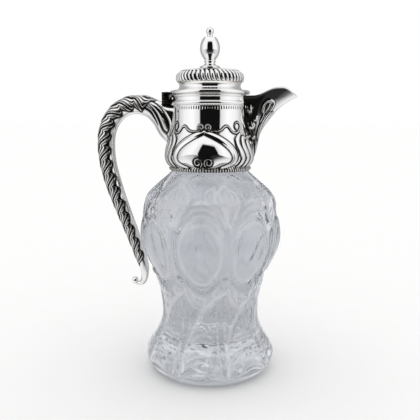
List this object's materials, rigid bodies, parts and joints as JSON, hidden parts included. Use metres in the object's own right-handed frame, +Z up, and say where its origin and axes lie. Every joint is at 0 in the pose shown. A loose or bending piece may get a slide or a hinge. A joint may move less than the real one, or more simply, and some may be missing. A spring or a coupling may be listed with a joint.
{
  "type": "claret jug",
  "caption": "Tall cut-glass serving jug with a silver collar, pouring spout, leafy loop handle and a hinged lid with an urn finial.",
  "frame": {"origin": "centre of the flat underside of the glass foot", "axes": "+Z up along the jug's axis, +X towards the spout, -X towards the handle and hinge, Y across the jug"},
  "size_m": [0.1705, 0.1208, 0.29],
  "materials": {
    "cut_glass": "clear lead crystal, cut and polished",
    "plaster": "dry white plaster",
    "silver": "polished silver, darkened in the hollows",
    "silver_wire": "drawn silver, dull"
  },
  "bodies": {
    "jug": {"glass_body": "cut_glass", "neck_cement": "plaster", "collar": "silver", "collar_foot_wire": "silver", "mouth_wire": "silver", "neck_wire_front": "silver", "neck_wire_back": "silver", "spout": "silver", "handle_core": "silver", "handle_leaves": "silver", "handle_scroll_tip": "silver", "hinge_bracket": "silver", "hinge_pin": "silver_wire"},
    "lid": {"hinge_lid_knuckle": "silver", "lid_flange": "silver", "lid_sleeve": "silver", "lid_wall": "silver", "gadroon_border": "silver", "lid_dome": "silver", "finial_base": "silver", "finial_urn": "silver", "finial_bead": "silver", "finial_stud": "silver_wire", "finial_nut": "silver_wire", "finial_washer": "silver_wire"}
  },
  "joints": [
    {"name": "lid_hinge", "type": "hinge", "parent": "jug", "child": "lid", "pos_m": [-0.0365, 0, 0.2354], "axis": [0, -1, 0], "range_deg": [0, 100]}
  ]
}
